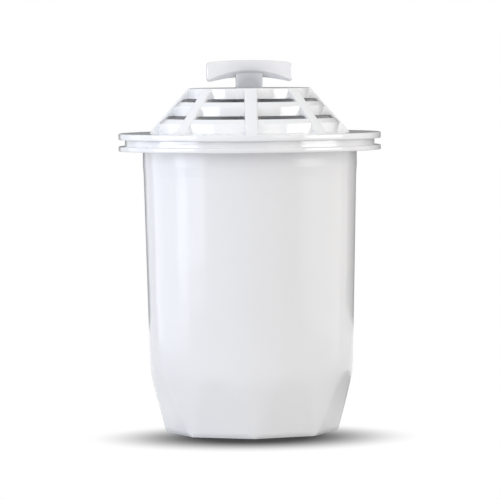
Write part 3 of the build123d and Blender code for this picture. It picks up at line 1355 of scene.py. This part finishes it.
@dataclass
class Studio:
    """Pale floor, white surroundings, soft lamps and the camera of the photograph."""

    camera_distance: float = 1.371
    camera_height: float = 0.1307
    camera_azimuth_deg: float = -1.3
    camera_roll_deg: float = -0.5
    lens_mm: float = 287.6
    sensor_mm: float = 36.0
    aim_x: float = -0.0002
    aim_z: float = 0.0624
    ambient: float = 0.7
    floor_radius: float = 1.6
    floor_gap_mm: float = 0.05
    floor_tone: float = 0.6
    near_tone: float = 0.76
    bounce_ends: Pair = (0.04, 0.08)
    shadow_middle: Pair = (0.0, -0.022)
    shadow_ends: Pair = (0.0155, 0.0575)
    mirrored_middle: Pair = (0.06, 0.06)
    mirrored_ends: Pair = (0.0, 0.11)
    shadow_tone: float = 0.08
    shadow_squash: float = 1.085
    backdrop_distance: float = 0.5
    backdrop_left_deg: float = 27.0
    backdrop_right_deg: float = 52.0
    backdrop_height: float = 0.45
    backdrop_tone: float = 0.12
    floor_sides: int = 96
    backdrop_points: int = 13
    clip_end: float = 20.0

    def build(self) -> None:
        """Adds everything around the cartridge."""
        self.surroundings()
        self.floor()
        self.backdrop()
        for softbox in SOFTBOXES:
            softbox.make()
        self.camera()

    def surroundings(self) -> None:
        """A world that is white to the camera and in reflections, and dimmer as a light on matt surfaces."""
        world = bpy.data.worlds.new("white_surroundings")
        bpy.context.scene.world = world
        tree = bare_tree(world)
        levels = {"To Min": self.ambient, "To Max": 1.0}
        strength = add_node(tree, ShaderNode.RANGE, levels, {"Value": self.seen_directly(tree)})
        light = {"Strength": strength.outputs["Result"]}
        background = add_node(tree, ShaderNode.BACKGROUND, {"Color": WHITE}, light)
        add_node(tree, ShaderNode.WORLD_OUTPUT, {}, {"Surface": background.outputs["Background"]})

    def seen_directly(self, tree: Any) -> Any:
        """Adds nodes that give 1 for rays from the camera, in gloss and through clear material, else 0.

        Args:
            tree: Node tree that takes the nodes.

        Returns:
            The output socket.
        """
        path = add_node(tree, ShaderNode.LIGHT_PATH)
        seen = path.outputs["Is Camera Ray"]
        for kind in ("Is Glossy Ray", "Is Transmission Ray"):
            both = {0: seen, 1: path.outputs[kind]}
            seen = add_node(tree, ShaderNode.MATHS, {"operation": "MAXIMUM"}, both).outputs["Value"]
        return seen

    def floor(self) -> None:
        """A pale matt disc, seen as plain white but for a painted oval shadow that fades out from the foot.

        Reflections also see a second, softer painted shadow to the right and rear. Matt surfaces see the
        disc's own tone with a painted pool of light: it is lighter near the foot, to throw more light there.
        """
        turns = np.linspace(0, 2 * math.pi, self.floor_sides + 1)[:-1]
        rim = around_axis(np.array(self.floor_radius / MM), np.array(-self.floor_gap_mm), turns)
        mesh = bpy.data.meshes.new("studio_floor")
        mesh.from_pydata(rim.tolist(), [], [list(range(len(rim)))])
        material = bpy.data.materials.new("pale_matt_floor")
        tree = bare_tree(material)
        # Painted shadow: dark inside an oval round the foot, fading to white outwards
        fade = self.oval(tree, self.shadow_middle, self.shadow_ends, (0.0, 1.0))
        # A second painted shadow, to the right and rear, that only reflections see
        aside = self.oval(tree, self.mirrored_middle, self.mirrored_ends, (0.0, 1.0))
        from_camera = add_node(tree, ShaderNode.LIGHT_PATH).outputs["Is Camera Ray"]
        kept = add_node(tree, ShaderNode.RANGE, {"To Max": 1.0}, {"Value": from_camera, "To Min": aside})
        seen = self.seen_directly(tree)
        share = fade
        for factor in (kept.outputs["Result"], seen):
            product = add_node(tree, ShaderNode.MATHS, {"operation": "MULTIPLY"}, {0: share, 1: factor})
            share = product.outputs["Value"]
        # Painted pool of light: to matt surfaces the floor is lighter near the foot
        lit = self.oval(tree, self.shadow_middle, self.bounce_ends, (self.near_tone, self.floor_tone))
        tones = {"Value": seen, "To Min": lit}
        tone = add_node(tree, ShaderNode.RANGE, {"To Max": self.shadow_tone}, tones)
        matt = add_node(tree, ShaderNode.MATT, {}, {"Color": tone.outputs["Result"]})
        white = add_node(tree, ShaderNode.GLOW, {"Color": WHITE, "Strength": 1.0})
        shaders = {"Fac": share, 1: matt.outputs["BSDF"], 2: white.outputs["Emission"]}
        mix = add_node(tree, ShaderNode.MIX, {}, shaders)
        add_node(tree, ShaderNode.MATERIAL_OUTPUT, {}, {"Surface": mix.outputs["Shader"]})
        mesh.materials.append(material)
        placed("studio_floor", mesh)

    def oval(self, tree: Any, middle: Pair, ends: Pair, values: Pair) -> Any:
        """Adds nodes whose output changes smoothly from the inside of an oval on the floor to its outside.

        Args:
            tree: Node tree that takes the nodes.
            middle: The oval's middle on the floor, in metres.
            ends: Half its width where the change starts and where it ends, in metres.
            values: The output inside and outside.

        Returns:
            The output socket.
        """
        squash = self.shadow_squash
        shape = {"Location": (-middle[0], -middle[1] * squash, 0.0), "Scale": (1.0, squash, 1.0)}
        distance = distance_from(tree, shape)
        change = {
            "interpolation_type": "SMOOTHSTEP",
            "From Min": ends[0],
            "From Max": ends[1],
            "To Min": values[0],
            "To Max": values[1],
        }
        return add_node(tree, ShaderNode.RANGE, change, {"Value": distance}).outputs["Result"]

    def backdrop(self) -> None:
        """A dark grey card behind the cartridge, for reflections only: it draws the thin dark edges."""
        sweep = np.linspace(-self.backdrop_right_deg, self.backdrop_left_deg, self.backdrop_points)
        turns = np.radians(sweep) + math.pi / 2
        low, high = (
            around_axis(np.array(self.backdrop_distance / MM), np.array(z / MM), turns)
            for z in (0.0, self.backdrop_height)
        )
        count = len(turns)
        faces = [(i, i + 1, count + i + 1, count + i) for i in range(count - 1)]
        mesh = bpy.data.meshes.new("dark_backdrop")
        mesh.from_pydata(np.concatenate([low, high]).tolist(), [], faces)
        material = bpy.data.materials.new("dark_grey_card")
        tree = bare_tree(material)
        glow = add_node(tree, ShaderNode.GLOW, {"Color": WHITE, "Strength": self.backdrop_tone})
        add_node(tree, ShaderNode.MATERIAL_OUTPUT, {}, {"Surface": glow.outputs["Emission"]})
        mesh.materials.append(material)
        card = placed("dark_backdrop", mesh)
        card.visible_camera = card.visible_diffuse = card.visible_shadow = False

    def camera(self) -> None:
        """The photograph's camera: a long lens, level with the cartridge's top, looking slightly down."""
        data = bpy.data.cameras.new("front_camera")
        data.lens = self.lens_mm
        data.sensor_width = self.sensor_mm
        data.clip_end = self.clip_end
        camera = placed("front_camera", data)
        turn, away = math.radians(self.camera_azimuth_deg), self.camera_distance
        place = Vector((math.sin(turn) * away, -math.cos(turn) * away, self.camera_height))
        look = (Vector((self.aim_x, 0, self.aim_z)) - place).to_track_quat("-Z", "Y")
        camera.rotation_mode = "QUATERNION"
        camera.rotation_quaternion = look @ Quaternion((0, 0, 1), math.radians(self.camera_roll_deg))
        camera.location = place
        bpy.context.scene.camera = camera


SOFTBOXES = (
    Softbox("left_softbox", (-0.51, -0.206, 0.2), (0.0, 0.0, 0.2), 0.36, 0.4, 0.96, "E6EFFF"),
    Softbox("front_right_softbox", (0.547, -1.028, 0.44), (0.0, 0.0, 0.07), 0.5, 0.7, 2.65, "FFFAF1"),
    Softbox("front_left_softbox", (-0.547, -1.028, 0.44), (0.0, 0.0, 0.07), 0.5, 0.7, 0.68, "F2F3FF"),
    Softbox("right_fill", (0.296, 0.047, 0.15), (0.0, 0.0, 0.15), 0.46, 0.3, 0.12, "FFF9F2"),
    Gloss("left_wall_gloss", (-0.297, 0.042, 0.15), (0.0, 0.0, 0.15), 0.31, 0.3, 0.42, "F0F5FF"),
    Gloss("right_wall_gloss", (0.297, -0.042, 0.15), (0.0, 0.0, 0.15), 0.34, 0.3, 0.24, "FFFDF9"),
    Gloss("left_strip", (-0.464, -0.187, 0.152), (0.0, 0.0, 0.152), 0.38, 0.12, 0.95, "F6F9FF"),
    Gloss("right_strip", (0.451, -0.215, 0.148), (0.0, 0.0, 0.148), 0.33, 0.12, 1.0, "FFFDF9"),
)


def main() -> None:
    """Builds the cartridge's pieces in order, then the studio."""
    logging.basicConfig(level=logging.INFO, format="%(name)s: %(message)s")
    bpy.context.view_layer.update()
    flange = Flange()
    Cup(flange).build(CUP_PLASTIC)
    lid = LouvredLid(flange)
    lid.build(LID_PLASTIC)
    PullHandle(seat_z=lid.disc_top).build(HANDLE_PLASTIC)
    InletMesh(flange).build(MESH_CLOTH)
    FilterStack().dress()
    Studio().build()
    bpy.context.scene.view_settings.view_transform = "Standard"


if __name__ == "__main__":
    main()
